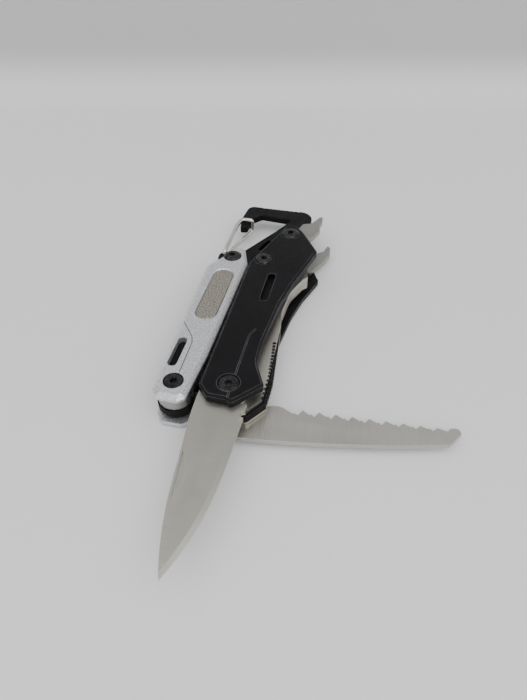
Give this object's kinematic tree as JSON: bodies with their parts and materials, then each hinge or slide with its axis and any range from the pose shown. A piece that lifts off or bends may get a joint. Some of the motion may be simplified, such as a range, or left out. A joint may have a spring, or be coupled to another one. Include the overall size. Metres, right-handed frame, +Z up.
{
  "type": "folding multi tool",
  "caption": "Folding multi tool with a black and a silver handle, open knife and saw blades, can and bottle openers, folded pliers, a file and a carabiner with wire gate.",
  "frame": {"origin": "middle of the open tool's footprint, on the surface it lies on", "axes": "+Y runs along the handles from the blade end to the carabiner, +Z is up through the stacked layers, +X is the side the saw points to"},
  "size_m": [0.1006, 0.1836, 0.0161],
  "materials": {
    "black_scale": "black anodised, fine blasted texture",
    "black_steel": "black oxide coat",
    "silver_scale": "clear anodised, blasted",
    "steel": "stainless, satin brushed",
    "plier_steel": "stainless, tumbled",
    "screw": "black oxide, slight sheen",
    "file": "coarse cross-cut file",
    "wire": "polished spring steel",
    "bronze": "phosphor bronze"
  },
  "bodies": {
    "black_handle": {"black_top_scale": "black_scale", "black_bottom_scale": "black_scale", "lower_liner": "steel", "upper_liner": "steel", "carabiner_frame": "black_steel", "steel_spacer": "steel", "knife_backspacer": "black_steel", "saw_backspacer": "black_steel", "knife_stop_pin": "plier_steel", "blade_washers": "bronze", "main_pivot_barrel": "plier_steel", "mid_barrel": "plier_steel", "top_pivot_barrel": "plier_steel", "main_pivot_screws": "screw", "mid_screws": "screw", "top_pivot_screws": "screw"},
    "knife": {"knife_blade": "steel"},
    "saw": {"saw_blade": "steel"},
    "can_opener": {"can_opener": "steel"},
    "bottle_opener": {"bottle_opener": "steel"},
    "gate": {"gate_wire": "wire"},
    "plier_a": {"plier_half_a": "plier_steel", "plier_pivot_pin": "plier_steel"},
    "plier_b": {"plier_half_b": "plier_steel"},
    "silver_handle": {"silver_top_scale": "silver_scale", "silver_bottom_scale": "silver_scale", "silver_lower_liner": "black_steel", "silver_upper_liner": "black_steel", "silver_backspacer": "black_steel", "file_plate": "file", "handle_spacer": "black_steel", "handle_pivot_barrel": "plier_steel", "handle_post": "plier_steel", "handle_pivot_screws": "screw", "handle_post_screws": "screw"}
  },
  "joints": [
    {"name": "knife_pivot", "type": "hinge", "parent": "black_handle", "child": "knife", "pos_m": [-0.02455, -0.02945, 0.0112], "axis": [0, 0, 1], "range_deg": [0, 180]},
    {"name": "saw_pivot", "type": "hinge", "parent": "black_handle", "child": "saw", "pos_m": [-0.02455, -0.02945, 0.0035], "axis": [0, 0, 1], "range_deg": [-90, 84]},
    {"name": "can_opener_pivot", "type": "hinge", "parent": "black_handle", "child": "can_opener", "pos_m": [-0.02115, 0.06085, 0.0112], "axis": [0, 0, 1], "range_deg": [-145, 0]},
    {"name": "bottle_opener_pivot", "type": "hinge", "parent": "black_handle", "child": "bottle_opener", "pos_m": [-0.02115, 0.06085, 0.0035], "axis": [0, 0, 1], "range_deg": [-80, 0]},
    {"name": "gate_hinge", "type": "hinge", "parent": "black_handle", "child": "gate", "pos_m": [-0.04795, 0.04895, 0.0073], "axis": [0, 0, -1], "range_deg": [0, 24], "stiffness_Nm_per_rad": 0.02},
    {"name": "plier_fold", "type": "hinge", "parent": "black_handle", "child": "plier_a", "pos_m": [-0.02455, -0.02945, 0.0073], "axis": [0, 0, 1], "range_deg": [0, 20]},
    {"name": "plier_jaws", "type": "hinge", "parent": "plier_a", "child": "plier_b", "pos_m": [-0.04035, -0.01445, 0.0076], "axis": [0, 0, 1], "range_deg": [0, 6]},
    {"name": "silver_fold", "type": "hinge", "parent": "plier_b", "child": "silver_handle", "pos_m": [-0.04205, -0.03245, 0.0098], "axis": [0, 0, 1], "range_deg": [0, 180]}
  ]
}
